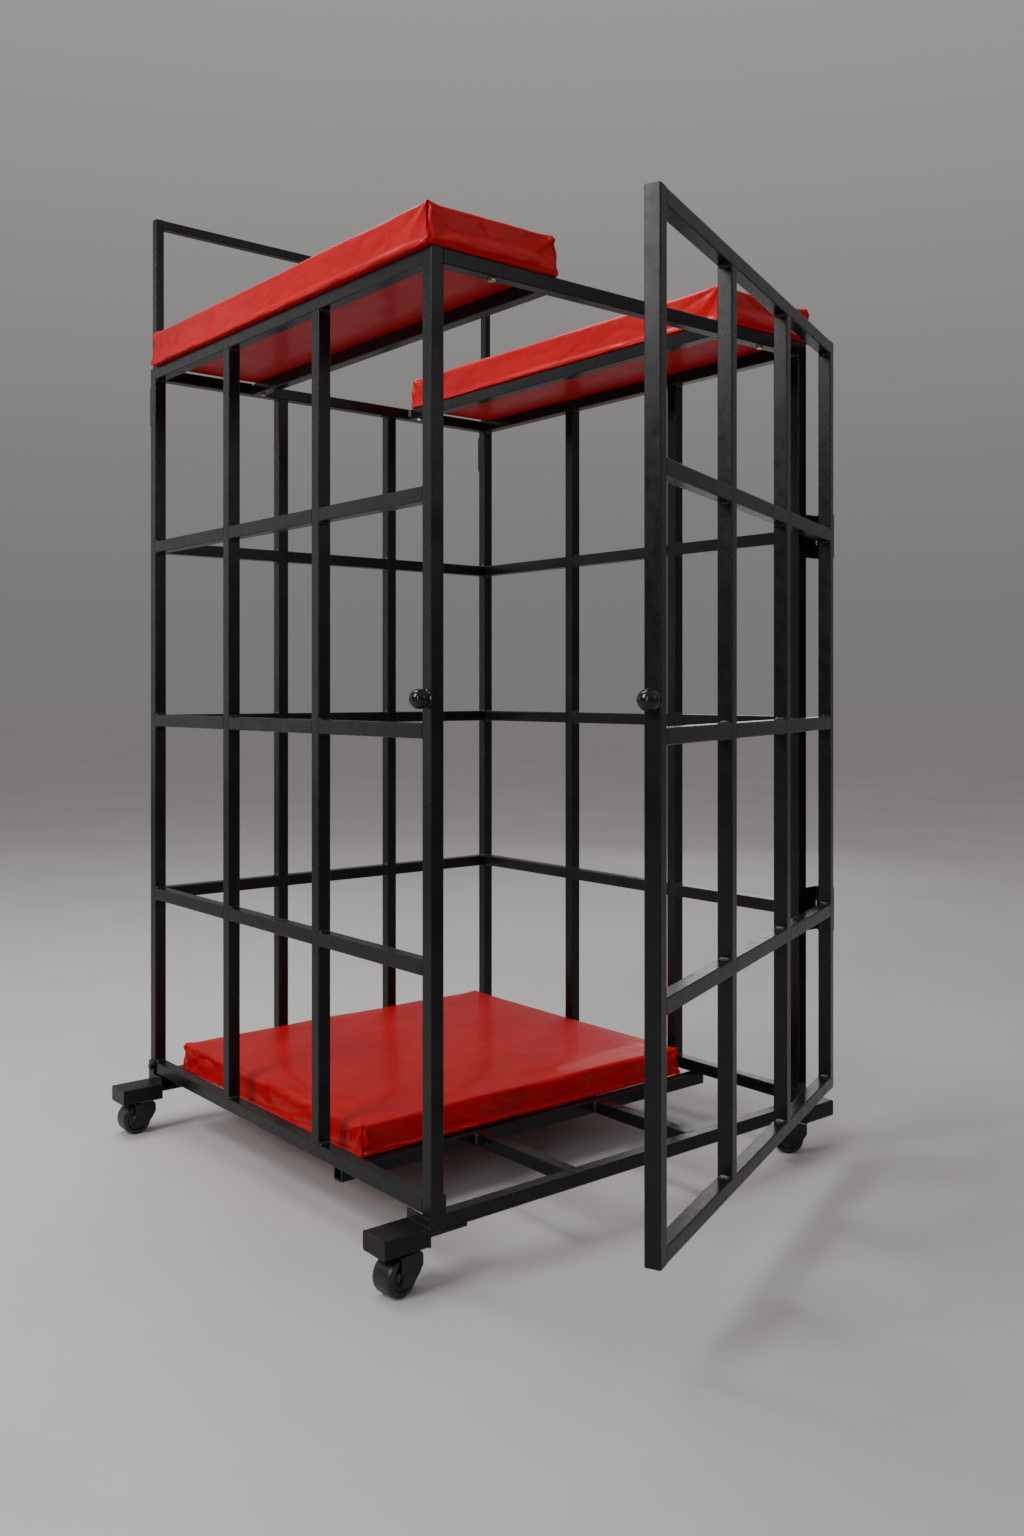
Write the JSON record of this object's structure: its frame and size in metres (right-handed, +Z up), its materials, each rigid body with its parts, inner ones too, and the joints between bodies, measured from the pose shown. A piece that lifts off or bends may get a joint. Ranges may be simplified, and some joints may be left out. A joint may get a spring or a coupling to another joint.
{
  "type": "rolling barred cage",
  "caption": "Tall rolling cage of square steel tube with a hinged barred gate, padded top with an open middle, floor pad, ball knobs and a raised rear hoop, on swivel castors.",
  "frame": {"origin": "on the floor, under the centre of the four corner posts", "axes": "+Z up, -Y towards the gate side, +X towards the side with the gate's hinges"},
  "size_m": [0.89, 1.1847, 1.583],
  "materials": {
    "black_steel": "gloss powder coat",
    "zinc_steel": "zinc plated",
    "black_plastic": "gloss",
    "knob_plastic": "polished",
    "wheel_rubber": "satin",
    "red_vinyl": "gloss embossed vinyl",
    "foam": "open cell",
    "plywood": "raw"
  },
  "bodies": {
    "frame": {"back_bottom_rail": "black_steel", "back_top_rail": "black_steel", "back_wall_bars": "black_steel", "back_wall_rails": "black_steel", "castor_bracket_back_left": "black_steel", "castor_bracket_back_right": "black_steel", "castor_bracket_front_left": "black_steel", "castor_bracket_front_right": "black_steel", "castor_mounts": "zinc_steel", "clamp_bolts": "zinc_steel", "floor_cross_members": "black_steel", "floor_pad": "red_vinyl", "floor_support_rail": "black_steel", "front_bottom_rail": "black_steel", "front_top_rail": "black_steel", "hinge_pins": "zinc_steel", "hinge_post_leaves": "black_steel", "hoop_clamps": "black_steel", "left_bottom_rail": "black_steel", "left_top_rail": "black_steel", "left_wall_bars": "black_steel", "left_wall_rails": "black_steel", "pad_boards": "plywood", "pad_bolts": "zinc_steel", "pad_foams": "foam", "pad_support_rails": "black_steel", "post_back_left": "black_steel", "post_back_right": "black_steel", "post_front_left": "black_steel", "post_front_right": "black_steel", "post_knob": "knob_plastic", "right_bottom_rail": "black_steel", "right_top_rail": "black_steel", "right_wall_bars": "black_steel", "right_wall_rails": "black_steel", "top_pad_left": "red_vinyl", "top_pad_right": "red_vinyl"},
    "gate": {"gate_hinge_stile": "black_steel", "gate_free_stile": "black_steel", "gate_top_rail": "black_steel", "gate_bottom_rail": "black_steel", "gate_bars": "black_steel", "gate_rails": "black_steel", "hinge_gate_leaves": "black_steel", "gate_knob": "knob_plastic"},
    "hoop": {"hoop_leg_left": "black_steel", "hoop_leg_right": "black_steel", "hoop_crossbar": "black_steel"},
    "castor_front_left": {"castor_hood_front_left": "black_plastic", "castor_axle_front_left": "zinc_steel"},
    "wheel_front_left": {"castor_wheel_front_left": "wheel_rubber"},
    "castor_back_left": {"castor_hood_back_left": "black_plastic", "castor_axle_back_left": "zinc_steel"},
    "wheel_back_left": {"castor_wheel_back_left": "wheel_rubber"},
    "castor_back_right": {"castor_hood_back_right": "black_plastic", "castor_axle_back_right": "zinc_steel"},
    "wheel_back_right": {"castor_wheel_back_right": "wheel_rubber"},
    "castor_front_right": {"castor_hood_front_right": "black_plastic", "castor_axle_front_right": "zinc_steel"},
    "wheel_front_right": {"castor_wheel_front_right": "wheel_rubber"}
  },
  "joints": [
    {"name": "gate_hinge", "type": "hinge", "parent": "frame", "child": "gate", "pos_m": [0.404, -0.424, 0.707], "axis": [0, 0, 1], "range_deg": [-23, 157]},
    {"name": "hoop_slide", "type": "slide", "parent": "frame", "child": "hoop", "axis": [0, 0, 1], "range_m": [-0.24, 0.18]},
    {"name": "swivel_front_left", "type": "hinge", "parent": "frame", "child": "castor_front_left", "pos_m": [-0.394, -0.395, 0.048], "axis": [0, 0, 1], "continuous": true},
    {"name": "roll_front_left", "type": "hinge", "parent": "castor_front_left", "child": "wheel_front_left", "pos_m": [-0.41579, -0.39806, 0.025], "axis": [-0.1392, 0.9903, 0], "continuous": true},
    {"name": "swivel_back_left", "type": "hinge", "parent": "frame", "child": "castor_back_left", "pos_m": [-0.394, 0.395, 0.048], "axis": [0, 0, 1], "continuous": true},
    {"name": "roll_back_left", "type": "hinge", "parent": "castor_back_left", "child": "wheel_back_left", "pos_m": [-0.416, 0.395, 0.025], "axis": [0, 1, 0], "continuous": true},
    {"name": "swivel_back_right", "type": "hinge", "parent": "frame", "child": "castor_back_right", "pos_m": [0.394, 0.395, 0.048], "axis": [0, 0, 1], "continuous": true},
    {"name": "roll_back_right", "type": "hinge", "parent": "castor_back_right", "child": "wheel_back_right", "pos_m": [0.41467, 0.40252, 0.025], "axis": [0.342, -0.9397, 0], "continuous": true},
    {"name": "swivel_front_right", "type": "hinge", "parent": "frame", "child": "castor_front_right", "pos_m": [0.394, -0.395, 0.048], "axis": [0, 0, 1], "continuous": true},
    {"name": "roll_front_right", "type": "hinge", "parent": "castor_front_right", "child": "wheel_front_right", "pos_m": [0.38016, -0.3779, 0.025], "axis": [0.7771, 0.6293, 0], "continuous": true}
  ]
}
